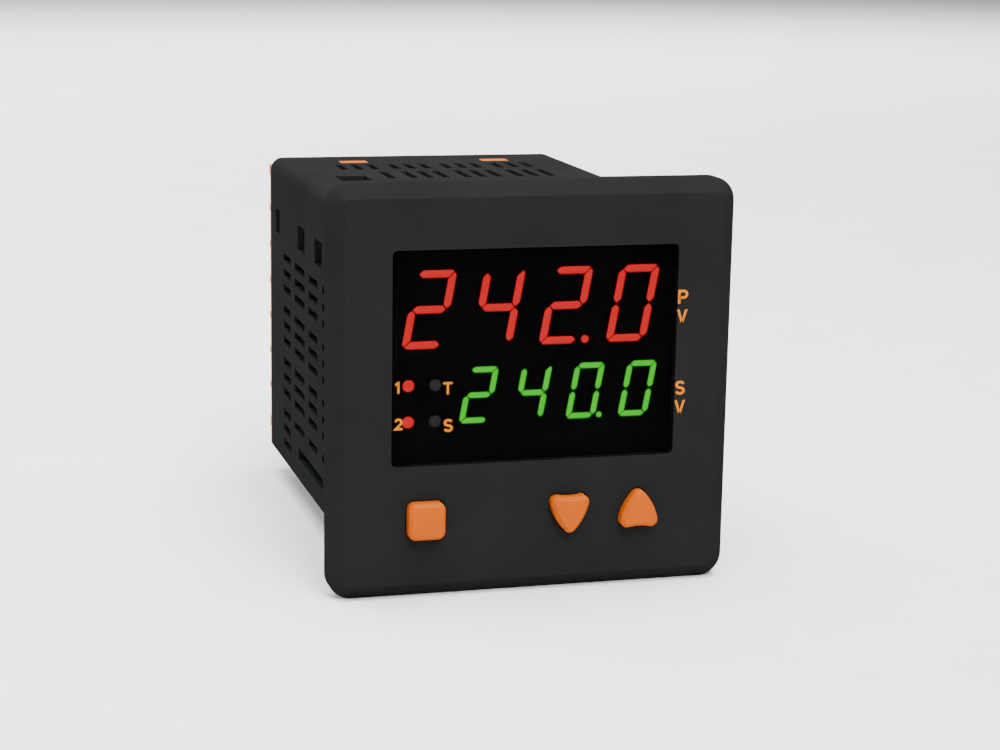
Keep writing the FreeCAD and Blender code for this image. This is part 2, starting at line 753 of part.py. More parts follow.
def make_terminal_strip(name, hand):
    """A moulded strip with a well for each terminal and a barrier rib between them."""
    body = new_body(name)
    key = name.title().replace("_", "")
    prism(body, "Pad", key + "Base", "XZ_Plane", BLOCK_FRONT, "block_depth",
          boxes([mirrored_box(hand, STRIP_INNER, INSIDE_HALF, f"-1 * ({INSIDE_HALF})",
                              f"2 * ({INSIDE_HALF})")]))
    prism(body, "Pad", key + "Flange", "XZ_Plane", "case_length", "rear_stand",
          boxes([mirrored_box(hand, STRIP_INNER, "case_side / 2", "-1 * block_foot",
                              "block_foot + block_top")]))
    wells = [mirrored_box(hand, WELL_INNER, WELL_OUTER,
                          f"{well_rise(n)} - (barrier_pitch - barrier_thickness) / 2",
                          "barrier_pitch - barrier_thickness") for n in range(TERMINALS)]
    prism(body, "Pocket", key + "Wells", "XZ_Plane", WELL_FLOOR, "well_depth", boxes(wells))
    ribs = []
    for n in range(1, TERMINALS):
        ribs.append(mirrored_box(hand, STRIP_INNER, "case_side / 2",
                                 f"{well_rise(n - 0.5)} - barrier_thickness / 2",
                                 "barrier_thickness"))
    ribs.append(mirrored_box(hand, STRIP_INNER, "case_side / 2",
                             f"{well_rise(-0.5)} + barrier_thickness / 2 - end_barrier",
                             "end_barrier"))
    ribs.append(mirrored_box(hand, STRIP_INNER, "case_side / 2",
                             f"{well_rise(TERMINALS - 0.5)} - barrier_thickness / 2",
                             "end_barrier"))
    barriers = prism(body, "Pad", key + "Barriers", "XZ_Plane", REAR_FACE, "barrier_stand",
                     boxes(ribs))
    outer = size("case_side / 2")
    back = size(f"{REAR_FACE} + barrier_stand")
    round_edges(body, barriers, "barrier_slope",
                lambda e: in_plane_y(e, back) and e.BoundBox.XLength < 1e-4
                and abs(abs(e.CenterOfMass.x) - outer) < 1e-4, key + "Slopes", "Chamfer")
    slits = [mirrored_box(hand, f"{TAIL_MIDDLE} - tail_side / 2", f"{TAIL_MIDDLE} + tail_side / 2",
                          f"{well_rise(n)} - tail_side / 2", "tail_side")
             for n in range(TERMINALS)]
    prism(body, "Pocket", key + "TailSlits", "XZ_Plane", BLOCK_FRONT,
          f"{WELL_FLOOR} - ({BLOCK_FRONT})", boxes(slits))


def each_terminal():
    for hand in (-1, 1):
        for number in range(TERMINALS):
            yield hand, well_rise(number)


def make_terminal_plates():
    """A metal plate on each well's floor, with a tail down to the terminal board."""
    body = new_body("terminal_plates")
    half = "(barrier_pitch - barrier_thickness) / 2 - fit_gap"
    plates = [mirrored_box(hand, f"{WELL_INNER} + fit_gap", f"{WELL_OUTER} - fit_gap",
                           f"{rise} - ({half})", f"2 * ({half})")
              for hand, rise in each_terminal()]
    prism(body, "Pad", "Plates", "XZ_Plane", WELL_FLOOR, "plate_thickness", boxes(plates))
    tails = [mirrored_box(hand, f"{TAIL_MIDDLE} - tail_side / 2", f"{TAIL_MIDDLE} + tail_side / 2",
                          f"{rise} - tail_side / 2", "tail_side")
             for hand, rise in each_terminal()]
    back = f"{TERMINAL_PLANE} + board_thickness"
    prism(body, "Pad", "Tails", "XZ_Plane", back, f"{WELL_FLOOR} - ({back})", boxes(tails))


def make_wire_clamps():
    """A square washer on each plate, which presses the wire."""
    squares = [centred(f"{hand} * ({WELL_MIDDLE})", rise, "clamp_side", "clamp_side")
               for hand, rise in each_terminal()]
    make_block("wire_clamps", "XZ_Plane", f"{WELL_FLOOR} + plate_thickness", "clamp_thickness",
               boxes(squares))


def make_terminal_screws():
    """Pan heads, one on each clamp; the shanks under them are not modelled."""
    heads = [(f"{hand} * ({WELL_MIDDLE})", rise, "screw_head_radius")
             for hand, rise in each_terminal()]
    make_block("terminal_screws", "XZ_Plane",
               f"{WELL_FLOOR} + plate_thickness + clamp_thickness", "screw_head_height",
               discs(heads))


# ---------------------------------------------------------------- boards and parts on them

def make_boards():
    make_block("display_board", "XZ_Plane", "display_plane", "board_thickness",
               boxes([centred("0", "0", "board_side", "board_side")]))
    make_block("terminal_board", "XZ_Plane", TERMINAL_PLANE, "board_thickness",
               boxes([centred("0", "0", "terminal_board_side", "terminal_board_side")]))
    width = f"2 * ({INSIDE_HALF})"
    for name in ("power_board", "control_board"):
        make_block(name, "XY_Plane", name + "_rise", "board_thickness",
                   boxes([(f"-1 * ({INSIDE_HALF})", "main_board_start", width,
                           f"{MAIN_BOARD_END} - main_board_start")]))


def make_headers():
    """Plugs and sockets that join the upright boards to the two flat boards."""
    front = "display_plane + board_thickness"
    rear = f"{TERMINAL_PLANE} - header_depth"
    left = "-1 * header_width / 2"
    for name, plane in (("power_headers", POWER_TOP), ("control_headers", CONTROL_TOP)):
        make_block(name, "XY_Plane", plane, "header_height",
                   boxes([(left, front, "header_width",
                           f"main_board_start + header_depth - ({front})"),
                          (left, rear, "header_width", "header_depth")]))


# ---------------------------------------------------------------- displays and lamps

# which of the seven bars each figure lights: top, upper left, upper right,
# middle, lower left, lower right, bottom
FIGURES = {"0": "1110111", "2": "1011101", "4": "0111010"}


def bar(start, end, stroke, middle, mitred):
    """A pointed bar as a closed outline; a mitred end has its point on the outer side."""
    along = (end - start).normalize()
    outward = Vector(-along.y, along.x)
    if outward.dot((start + end) / 2 - middle) < 0:
        outward = outward * -1
    half = stroke / 2
    tips = []
    for spot, inward, sharp in ((start, along, mitred[0]), (end, along * -1, mitred[1])):
        shift = MITRE * stroke if sharp else 0
        tips.append((spot + (outward - inward) * shift,
                     spot + outward * half + inward * (half - 2 * shift),
                     spot - outward * half + inward * half))
    (tip_a, outer_a, inner_a), (tip_b, outer_b, inner_b) = tips
    return [tip_a, outer_a, outer_b, tip_b, inner_b, inner_a]


def figure_bars(figure, width, height, stroke, gap):
    """Outlines of the lit bars of one figure, upright, from its lower left corner."""
    left, right = stroke / 2, width - stroke / 2
    low, centre, high = stroke / 2, height / 2, height - stroke / 2
    middle = Vector(width / 2, centre)
    # each bar's two ends, and which of them is mitred at a sharp corner of the figure
    ends = [((left, high), (right, high), (0, 1)), ((left, centre), (left, high), (0, 0)),
            ((right, centre), (right, high), (0, 1)), ((left, centre), (right, centre), (0, 0)),
            ((left, low), (left, centre), (1, 0)), ((right, low), (right, centre), (0, 0)),
            ((left, low), (right, low), (1, 0))]
    outlines = []
    for lit, (a, b, mitred) in zip(FIGURES[figure], ends):
        if lit == "1":
            start, end = Vector(*a), Vector(*b)
            along = (end - start).normalize() * gap
            outlines.append(bar(start + along, end - along, stroke, middle, mitred))
    return outlines


def make_segments(name, text, point_after, row):
    """Lit bars of a row of slanted figures, lying on the front of their module."""
    width, height = size(f"{row}_digit_width"), size(f"{row}_digit_height")
    stroke, pitch = size(f"{row}_stroke"), size(f"{row}_digit_pitch")
    lean = math.tan(math.radians(size("segment_slant")))
    thickness, front = size("segment_thickness"), size(SEGMENT_FRONT)
    low = size(f"{row}_digit_rise") - height / 2
    right = size("digits_right")
    solids = []
    for place, figure in enumerate(text):
        left = right - lean * height - width - pitch * (len(text) - 1 - place)
        for outline in figure_bars(figure, width, height, stroke, size("segment_gap")):
            points = [Vector(left + p.x + lean * p.y, front, low + p.y) for p in outline]
            face = Part.Face(Part.makePolygon(points + points[:1]))
            solids.append(face.extrude(Vector(0, thickness, 0)))
        if place == point_after:
            radius = size(f"{row}_point_radius")
            spot = Vector(left + width + size(f"{row}_point_reach"), front, low + radius)
            solids.append(Part.makeCylinder(radius, thickness, spot, Vector(0, 1, 0)))
    feature = doc.addObject("Part::Feature", name)
    feature.Label = name
    feature.Shape = Part.makeCompound(solids)
    feature.Placement = FreeCAD.Placement()


def module_field(row, trim="0"):
    """The front of a display module as a rectangle, made smaller all round by a trim."""
    width = f"{row}_digit_pitch * {DIGITS}"
    middle = f"digits_right + module_side_margin - ({width}) / 2"
    return centred(middle, f"{row}_digit_rise", f"{width} - 2 * ({trim})",
                   f"{row}_digit_height + 2 * module_end_margin - 2 * ({trim})")


def make_display_modules():
    depth = f"display_plane - ({MODULE_FRONT})"
    for name, row in (("upper_display", "upper"), ("lower_display", "lower")):
        make_block(name, "XZ_Plane", MODULE_FRONT, depth, boxes([module_field(row)]))
    for name, reach in (("output_lamps", "lamp_left"), ("status_lamps", "lamp_right")):
        make_block(name, "XZ_Plane", SEGMENT_FRONT, f"display_plane - ({SEGMENT_FRONT})",
                   discs([(reach, "lamp_upper_rise", "lamp_radius"),
                          (reach, "lamp_lower_rise", "lamp_radius")]))


def make_display_mask():
    """A black sheet between the ledges, open over the figures and round the lamps."""
    body = new_body("display_mask")
    prism(body, "Pad", "MaskSheet", "XZ_Plane", SEGMENT_FRONT, "segment_thickness",
          boxes([centred("0", "window_rise", f"2 * ({LEDGE_INNER} - mask_side_gap)",
                         "window_height + 2 * mask_lip")]))
    prism(body, "Pocket", "MaskFields", "XZ_Plane", SEGMENT_FRONT, "segment_thickness",
          boxes([module_field("upper", "mask_overlap"), module_field("lower", "mask_overlap")]))
    hole = "2 * lamp_radius + fit_gap"
    prism(body, "Pocket", "MaskHoles", "XZ_Plane", SEGMENT_FRONT, "segment_thickness",
          boxes([centred(reach, rise, hole, hole) for reach in ("lamp_left", "lamp_right")
                 for rise in ("lamp_upper_rise", "lamp_lower_rise")]))


# ---------------------------------------------------------------- parts on the flat boards

def make_transformer():
    """A ferrite frame with two windows, and a coil round its middle leg."""
    top, reach, start = POWER_TOP, "core_reach", "core_start"
    wide, leg = "core_width", "core_leg"
    side_window = f"(({wide}) - 4 * {leg}) / 2"
    core = new_body("transformer_core")
    prism(core, "Pad", "CoreBlock", "XZ_Plane", start, "core_run",
          boxes([(f"{reach} - {wide} / 2", top, wide, "core_height")]))
    prism(core, "Pocket", "CoreWindows", "XZ_Plane", start, "core_run",
          boxes([(f"{reach} - {leg} - {side_window}", f"{top} + {leg}", side_window,
                  f"core_height - 2 * {leg}"),
                 (f"{reach} + {leg}", f"{top} + {leg}", side_window,
                  f"core_height - 2 * {leg}")]))
    coil = new_body("transformer_coil")
    low, tall = f"{top} + {leg} + fit_gap", f"core_height - 2 * {leg} - 2 * fit_gap"
    half_x = f"({leg} + {side_window} - fit_gap)"
    prism(coil, "Pad", "CoilBlock", "XY_Plane", low, tall,
          boxes([centred(reach, f"{start} + core_run / 2", f"2 * {half_x}",
                         "core_run + 2 * coil_overhang")]))
    prism(coil, "Pocket", "CoilBore", "XY_Plane", low, tall,
          boxes([centred(reach, f"{start} + core_run / 2", f"2 * {leg} + 2 * fit_gap",
                         "core_run + 2 * fit_gap")]))


def make_power_parts():
    """Mains side parts, all standing on the power board."""
    edge = f"({INSIDE_HALF})"
    middle = f"{MAIN_BOARD_END} - relay_inset"
    make_block("output_relays", "XY_Plane", POWER_TOP, "relay_height",
               boxes([centred(reach, middle, "relay_width", "relay_length")
                      for reach in ("relay_left", "relay_right")]))
    make_block("bulk_capacitors", "XY_Plane", POWER_TOP, "capacitor_height",
               discs([(f"{edge} - capacitor_inset", place, "capacitor_radius")
                      for place in ("capacitor_first", "capacitor_second")]))
    make_block("suppression_capacitor", "XY_Plane", POWER_TOP, "film_height",
               boxes([(f"film_inset - {edge}", f"{MAIN_BOARD_END} - film_end_inset",
                       "film_width", "film_length")]))
    make_block("mains_fuse", "XY_Plane", POWER_TOP, "fuse_height",
               boxes([(f"fuse_inset - {edge}", f"{MAIN_BOARD_END} - fuse_end_inset",
                       "fuse_width", "fuse_length")]))


def make_control_parts():
    """Small signal parts, all lying on the control board."""
    make_block("microcontroller", "XY_Plane", CONTROL_TOP, "chip_height",
               boxes([centred("0", "chip_middle", "chip_side", "chip_side")]))
    make_block("signal_converter", "XY_Plane", CONTROL_TOP, "chip_height",
               boxes([centred("converter_reach", f"{MAIN_BOARD_END} - converter_inset",
                              "converter_width", "converter_length")]))
    make_block("clock_crystal", "XY_Plane", CONTROL_TOP, "crystal_height",
               boxes([centred("crystal_reach", "chip_middle", "crystal_width",
                              "crystal_length")]))
    make_block("opto_couplers", "XY_Plane", CONTROL_TOP, "coupler_height",
               boxes([centred(f"coupler_pitch * {n - (COUPLERS - 1) / 2}",
                              f"{MAIN_BOARD_END} - coupler_inset", "coupler_width",
                              "coupler_length") for n in range(COUPLERS)]))


make_bezel()
make_display_window()
make_segments("upper_segments", "2420", 2, "upper")
make_segments("lower_segments", "2400", 2, "lower")
make_display_modules()
make_display_mask()
for key in KEYS:
    make_button(key)
for key in KEYS:
    make_plunger(key)
make_switches()
make_case()
make_rear_cover()
make_terminal_strip("left_terminal_strip", -1)
make_terminal_strip("right_terminal_strip", 1)
make_terminal_plates()
make_wire_clamps()
make_terminal_screws()
make_boards()
make_headers()
make_transformer()
make_power_parts()
make_control_parts()
doc.recompute()


def check_document():
    """Stop if anything failed, is empty, or a feature changed no volume."""
    for item in doc.Objects:
        if "Invalid" in item.State or "Error" in item.State:
            raise RuntimeError(f"{item.Name} failed: {item.State}")
    for body in nodes():
        shape = body.Shape
        if shape.isNull() or not shape.isValid() or not shape.Solids:
            raise RuntimeError(f"{body.Label} has no valid solid")
        volume = 0.0
        for feature in body.Group if hasattr(body, "Group") else []:
            if not feature.isDerivedFrom("PartDesign::Feature"):
                continue
            if abs(feature.Shape.Volume - volume) < 1e-6:
                raise RuntimeError(f"{feature.Name} changes nothing")
            volume = feature.Shape.Volume


def nodes():
    return [o for o in doc.Objects if o.TypeId in ("PartDesign::Body", "Part::Feature")]


check_document()
os.makedirs("parts", exist_ok=True)
for node in nodes():
    node.Shape.exportStep(f"parts/{node.Label}.step")
    box = node.Shape.BoundBox
    print(f"{node.Label:24s} solids {len(node.Shape.Solids):3d} volume {node.Shape.Volume:10.1f}"
          f"  x {box.XMin:.1f}..{box.XMax:.1f} y {box.YMin:.1f}..{box.YMax:.1f}"
          f" z {box.ZMin:.1f}..{box.ZMax:.1f}")
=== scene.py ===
import math

import bmesh
import bpy
from mathutils import Matrix, Vector


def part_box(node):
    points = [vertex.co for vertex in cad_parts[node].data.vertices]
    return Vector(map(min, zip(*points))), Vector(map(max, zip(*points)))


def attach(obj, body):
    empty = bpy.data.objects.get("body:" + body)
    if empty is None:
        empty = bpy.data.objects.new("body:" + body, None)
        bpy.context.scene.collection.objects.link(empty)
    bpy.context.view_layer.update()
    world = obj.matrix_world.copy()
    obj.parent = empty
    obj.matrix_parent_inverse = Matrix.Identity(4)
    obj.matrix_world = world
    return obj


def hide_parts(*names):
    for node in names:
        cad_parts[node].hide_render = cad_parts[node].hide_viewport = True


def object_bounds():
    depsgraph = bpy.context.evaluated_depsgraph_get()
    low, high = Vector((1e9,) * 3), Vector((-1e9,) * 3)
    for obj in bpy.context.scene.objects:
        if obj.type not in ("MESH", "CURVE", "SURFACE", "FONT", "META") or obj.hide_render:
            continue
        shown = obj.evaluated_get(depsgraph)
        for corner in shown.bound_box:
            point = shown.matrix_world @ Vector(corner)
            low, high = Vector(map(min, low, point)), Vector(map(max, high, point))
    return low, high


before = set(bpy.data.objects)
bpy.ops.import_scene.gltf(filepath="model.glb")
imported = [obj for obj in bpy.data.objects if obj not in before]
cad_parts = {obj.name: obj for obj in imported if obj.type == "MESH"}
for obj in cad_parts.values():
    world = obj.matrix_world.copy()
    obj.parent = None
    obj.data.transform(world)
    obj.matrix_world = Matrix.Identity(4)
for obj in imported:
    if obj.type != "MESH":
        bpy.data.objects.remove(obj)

CAD_BOX = [list(corner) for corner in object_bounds()]
MM = 0.001

# cleaning the CAD meshes, in metres and degrees
WELD_DISTANCE = 2e-6
FLAT_ANGLE = 0.6
# softening: edges sharper than this many degrees are rounded in this many steps
SHARP_ANGLE = 32
EDGE_SEGMENTS = 2
BUTTON_SEGMENTS = 4
# the stretch of noise values that is spread between two tones or two glosses
NOISE_LOW = 0.3
NOISE_HIGH = 0.7


# ------------------------------------------------------------------ materials

def material(name):
    """An empty node material with its shader, and the nodes that link to it."""
    made = bpy.data.materials.new(name)
    made.use_nodes = True
    nodes = made.node_tree.nodes
    return made, nodes, made.node_tree.links, nodes["Principled BSDF"]


def set_sockets(shader, **values):
    """Sets the shader's own sockets, written with _ for a space."""
    for key, value in values.items():
        shader.inputs[key.replace("_", " ")].default_value = value


def grain(nodes, links, scale, detail=4.0):
    """Noise in object coordinates, which doesn't depend on UVs."""
    place = nodes.new("ShaderNodeTexCoord")
    noise = nodes.new("ShaderNodeTexNoise")
    noise.inputs["Scale"].default_value = scale
    noise.inputs["Detail"].default_value = detail
    links.new(place.outputs["Object"], noise.inputs["Vector"])
    return noise


def spread(nodes, links, source, low, high):
    """A noise factor mapped to low..high, for roughness and the like."""
    ranged = nodes.new("ShaderNodeMapRange")
    ranged.inputs["From Min"].default_value = NOISE_LOW
    ranged.inputs["From Max"].default_value = NOISE_HIGH
    ranged.inputs["To Min"].default_value = low
    ranged.inputs["To Max"].default_value = high
    links.new(source, ranged.inputs["Value"])
    return ranged.outputs["Result"]


def tint(nodes, links, source, dark, light):
    """A ramp between two colours."""
    ramp = nodes.new("ShaderNodeValToRGB")
    ramp.color_ramp.elements[0].position = NOISE_LOW
    ramp.color_ramp.elements[1].position = NOISE_HIGH
    ramp.color_ramp.elements[0].color = (*dark, 1)
    ramp.color_ramp.elements[1].color = (*light, 1)
    links.new(source, ramp.inputs["Fac"])
    return ramp.outputs["Color"]


def bump(nodes, links, shader, source, depth, strength):
    """Fine relief of the given depth in metres."""
    relief = nodes.new("ShaderNodeBump")
    relief.inputs["Distance"].default_value = depth
    relief.inputs["Strength"].default_value = strength
    links.new(source, relief.inputs["Height"])
    links.new(relief.outputs["Normal"], shader.inputs["Normal"])


def moulded(name, dark, light, rough=(0.42, 0.55), relief=6e-6, scale=2600.0, **more):
    """Moulded plastic: a spark-eroded grain that varies the gloss, and slow changes of tone."""
    made, nodes, links, shader = material(name)
    fine = grain(nodes, links, scale)
    broad = grain(nodes, links, 45.0, 3.0)
    links.new(tint(nodes, links, broad.outputs["Fac"], dark, light), shader.inputs["Base Color"])
    links.new(spread(nodes, links, fine.outputs["Fac"], *rough), shader.inputs["Roughness"])
    bump(nodes, links, shader, fine.outputs["Fac"], relief, 0.6)
    set_sockets(shader, **more)
    return made


def brushed(name, dark, light, rough, stretch):
    """Plated metal with fine drawn lines."""
    made, nodes, links, shader = material(name)
    place = nodes.new("ShaderNodeTexCoord")
    drawn = nodes.new("ShaderNodeMapping")
    drawn.inputs["Scale"].default_value = stretch
    links.new(place.outputs["Object"], drawn.inputs["Vector"])
    lines = nodes.new("ShaderNodeTexNoise")
    lines.inputs["Scale"].default_value = 900.0
    links.new(drawn.outputs["Vector"], lines.inputs["Vector"])
    links.new(tint(nodes, links, lines.outputs["Fac"], dark, light), shader.inputs["Base Color"])
    links.new(spread(nodes, links, lines.outputs["Fac"], *rough), shader.inputs["Roughness"])
    bump(nodes, links, shader, lines.outputs["Fac"], 4e-6, 0.4)
    set_sockets(shader, Metallic=1.0)
    return made


def lit(name, colour, power, spot=0.9, unlit=0.2):
    """A lit segment or lamp with a slight grain; unlit is its share of colour without power."""
    made, nodes, links, shader = material(name)
    fine = grain(nodes, links, 1500.0, 2.0)
    dim = tuple(channel * spot for channel in colour)
    glow = tint(nodes, links, fine.outputs["Fac"], dim, colour)
    links.new(glow, shader.inputs["Emission Color"])
    unlit_tones = [tuple(channel * unlit for channel in tone) for tone in (dim, colour)]
    links.new(tint(nodes, links, fine.outputs["Fac"], *unlit_tones), shader.inputs["Base Color"])
    links.new(spread(nodes, links, fine.outputs["Fac"], 0.35, 0.5), shader.inputs["Roughness"])
    set_sockets(shader, Emission_Strength=power)
    return made


def smoked_pane():
    """The tinted window: gloss black that lets the lit figures through."""
    made, nodes, links, shader = material("smoked_pane")
    fine = grain(nodes, links, 700.0, 2.0)
    links.new(tint(nodes, links, fine.outputs["Fac"], (0.0008,) * 3, (0.0014,) * 3),
              shader.inputs["Base Color"])
    links.new(spread(nodes, links, fine.outputs["Fac"], 0.06, 0.1), shader.inputs["Roughness"])
    set_sockets(shader, Alpha=0.32, IOR=1.49, Specular_IOR_Level=0.02)
    return made


def printed():
    """Ink printed on plastic."""
    made, nodes, links, shader = material("printed_orange")
    fine = grain(nodes, links, 3000.0, 3.0)
    links.new(tint(nodes, links, fine.outputs["Fac"], (0.45, 0.125, 0.001), (0.51, 0.145, 0.002)),
              shader.inputs["Base Color"])
    links.new(spread(nodes, links, fine.outputs["Fac"], 0.45, 0.6), shader.inputs["Roughness"])
    bump(nodes, links, shader, fine.outputs["Fac"], 3e-6, 0.5)
    set_sockets(shader, Specular_IOR_Level=0.05)
    return made


def circuit_board():
    """Green solder resist over tracks."""
    made, nodes, links, shader = material("board_green")
    place = nodes.new("ShaderNodeTexCoord")
    tracks = nodes.new("ShaderNodeTexBrick")
    tracks.inputs["Scale"].default_value = 260.0
    tracks.inputs["Mortar Size"].default_value = 0.04
    tracks.inputs["Color1"].default_value = (0.006, 0.07, 0.024, 1)
    tracks.inputs["Color2"].default_value = (0.008, 0.085, 0.03, 1)
    tracks.inputs["Mortar"].default_value = (0.015, 0.13, 0.045, 1)
    links.new(place.outputs["Object"], tracks.inputs["Vector"])
    links.new(tracks.outputs["Color"], shader.inputs["Base Color"])
    fine = grain(nodes, links, 1200.0, 2.0)
    links.new(spread(nodes, links, fine.outputs["Fac"], 0.25, 0.38), shader.inputs["Roughness"])
    bump(nodes, links, shader, tracks.outputs["Fac"], 8e-6, 0.5)
    return made


BEZEL = moulded("bezel_plastic", (0.0106, 0.0109, 0.0115), (0.0122, 0.0125, 0.0131),
                Specular_IOR_Level=0.0)
CASE = moulded("case_plastic", (0.0110, 0.0113, 0.0120), (0.0130, 0.0134, 0.0142), (0.45, 0.6),
               1e-5, 1800.0, Specular_IOR_Level=0.0)
ORANGE_STRIP = moulded("block_orange", (0.34, 0.08, 0.003), (0.41, 0.10, 0.004), (0.4, 0.52),
                       8e-6, 1800.0, Specular_IOR_Level=0.02)
RUBBER = moulded("button_orange", (0.38, 0.067, 0.0015), (0.43, 0.077, 0.002), (0.38, 0.48),
                 4e-6, 3000.0, Specular_IOR_Level=0.05)
PANE = smoked_pane()
RED = lit("lit_red", (1.0, 0.0, 0.002), 1.55)
GREEN = lit("lit_green", (0.03, 1.0, 0.0), 1.4)
LAMP_RED = lit("lamp_red", (1.0, 0.0, 0.002), 1.55)
LAMP_DARK = moulded("lamp_dark", (0.05, 0.05, 0.053), (0.062, 0.062, 0.065), (0.3, 0.4),
                    Specular_IOR_Level=0.05)
MODULE = moulded("module_black", (0.0006,) * 3, (0.0009,) * 3, (0.6, 0.7),
                 Specular_IOR_Level=0.01)
PRINT = printed()
BLACK = moulded("component_black", (0.012,) * 3, (0.018,) * 3, (0.4, 0.55),
                Specular_IOR_Level=0.15)
PLUNGER = moulded("plunger_black", (0.015,) * 3, (0.022,) * 3, (0.35, 0.5),
                  Specular_IOR_Level=0.15)
BRASS = brushed("plated_brass", (0.62, 0.5, 0.28), (0.78, 0.66, 0.42), (0.22, 0.36), (1, 1, 9))
STEEL = brushed("plated_steel", (0.52, 0.52, 0.53), (0.7, 0.7, 0.71), (0.2, 0.35), (1, 9, 1))
BOARD = circuit_board()
FERRITE = moulded("ferrite", (0.04, 0.04, 0.044), (0.06, 0.06, 0.066), (0.55, 0.7), 2e-5, 900.0)
TAPE = moulded("coil_tape", (0.66, 0.5, 0.08), (0.8, 0.64, 0.12), (0.2, 0.32), 1e-5, 500.0)
RELAY = moulded("relay_blue", (0.016, 0.08, 0.34), (0.022, 0.11, 0.42), (0.35, 0.5))
SLEEVE = moulded("capacitor_sleeve", (0.016, 0.024, 0.07), (0.024, 0.034, 0.09), (0.2, 0.32))
DIPPED = moulded("capacitor_orange", (0.72, 0.22, 0.02), (0.85, 0.28, 0.035), (0.25, 0.36))

# CAD nodes: material, record slot, body, edge bevel in millimetres (None keeps the node itself)
DRESSED = {
    "front_bezel": (BEZEL, "bezel_plastic", "root", 0.22),
    "case_shell": (CASE, "case_plastic", "root", 0.18),
    "rear_cover": (ORANGE_STRIP, "block_orange", "root", 0.15),
    "left_terminal_strip": (ORANGE_STRIP, "block_orange", "root", 0.15),
    "right_terminal_strip": (ORANGE_STRIP, "block_orange", "root", 0.15),
    "terminal_plates": (BRASS, "plated_brass", "root", 0.1),
    "wire_clamps": (STEEL, "plated_steel", "root", 0.12),
    "display_window": (PANE, "window_pane", "root", 0.12),
    "upper_display": (MODULE, "module_black", "root", 0.15),
    "lower_display": (MODULE, "module_black", "root", 0.15),
    "switch_bodies": (BLACK, "component_black", "root", 0.15),
    "transformer_core": (FERRITE, "ferrite", "root", 0.3),
    "transformer_coil": (TAPE, "coil_tape", "root", 0.5),
    "output_relays": (RELAY, "relay_blue", "root", 0.5),
    "bulk_capacitors": (SLEEVE, "capacitor_sleeve", "root", 0.5),
    "suppression_capacitor": (DIPPED, "capacitor_orange", "root", 0.5),
    "mains_fuse": (BLACK, "component_black", "root", 0.4),
    "microcontroller": (BLACK, "component_black", "root", 0.15),
    "signal_converter": (BLACK, "component_black", "root", 0.15),
    "clock_crystal": (STEEL, "plated_steel", "root", 0.4),
    "opto_couplers": (BLACK, "component_black", "root", 0.2),
    "power_headers": (BLACK, "component_black", "root", 0.15),
    "control_headers": (BLACK, "component_black", "root", 0.15),
    "display_board": (BOARD, "board_green", "root", 0.1),
    "terminal_board": (BOARD, "board_green", "root", 0.1),
    "power_board": (BOARD, "board_green", "root", 0.1),
    "control_board": (BOARD, "board_green", "root", 0.1),
    "output_lamps": (LAMP_RED, "lamp_red", "root", 0.1),
    "status_lamps": (LAMP_DARK, "lamp_dark", "root", 0.1),
    "display_mask": (MODULE, "module_black", "root", None),
    "upper_segments": (RED, "lit_red", "root", None),
    "lower_segments": (GREEN, "lit_green", "root", None),
    "set_button": (RUBBER, "button_orange", "set_key", 0.5),
    "down_button": (RUBBER, "button_orange", "down_key", 0.5),
    "up_button": (RUBBER, "button_orange", "up_key", 0.5),
    "set_plunger": (PLUNGER, "plunger_black", "set_key", None),
    "down_plunger": (PLUNGER, "plunger_black", "down_key", None),
    "up_plunger": (PLUNGER, "plunger_black", "up_key", None),
}


# ------------------------------------------------------------------ dressing the CAD nodes

def clean_copy(node, name):
    """The node's mesh as a new object, welded and with flat faces whole again."""
    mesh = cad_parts[node].data.copy()
    made = bpy.data.objects.new(name, mesh)
    bpy.context.scene.collection.objects.link(made)
    shape = bmesh.new()
    shape.from_mesh(mesh)
    bmesh.ops.remove_doubles(shape, verts=shape.verts, dist=WELD_DISTANCE)
    bmesh.ops.dissolve_limit(shape, angle_limit=math.radians(FLAT_ANGLE), verts=shape.verts,
                             edges=shape.edges)
    shape.to_mesh(mesh)
    shape.free()
    mesh.materials.clear()
    return made


def soften(piece, width, segments):
    """Rounds the piece's sharp edges and lets its flat faces keep their shading."""
    piece.data.shade_smooth()
    edges = piece.modifiers.new("edges", "BEVEL")
    edges.width = width * MM
    edges.segments = segments
    edges.limit_method = "ANGLE"
    edges.angle_limit = math.radians(SHARP_ANGLE)
    edges.use_clamp_overlap = True
    normals = piece.modifiers.new("normals", "WEIGHTED_NORMAL")
    normals.keep_sharp = True


def dress(node, look, slot, body, width):
    """Stands a softly edged copy for a CAD node."""
    piece = clean_copy(node, node + "_skin")
    piece.data.materials.append(look)
    soften(piece, width, BUTTON_SEGMENTS if slot == "button_orange" else EDGE_SEGMENTS)
    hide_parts(node)
    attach(piece, body)


def dress_all():
    """Every CAD node gets its finish, and most a copy with softened edges."""
    for node, (look, slot, body, width) in DRESSED.items():
        if width is None:
            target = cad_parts[node]
            target.data.materials.clear()
            target.data.materials.append(look)
        else:
            dress(node, look, slot, body, width)


# ------------------------------------------------------------------ pieces built here

def new_piece(name, points, faces, look, body, edge=0.0):
    """A mesh piece from points in metres, with its edges softened by edge millimetres."""
    mesh = bpy.data.meshes.new(name)
    mesh.from_pydata(points, [], faces)
    mesh.materials.append(look)
    piece = bpy.data.objects.new(name, mesh)
    bpy.context.scene.collection.objects.link(piece)
    if edge:
        soften(piece, edge, EDGE_SEGMENTS)
    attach(piece, body)
    return piece


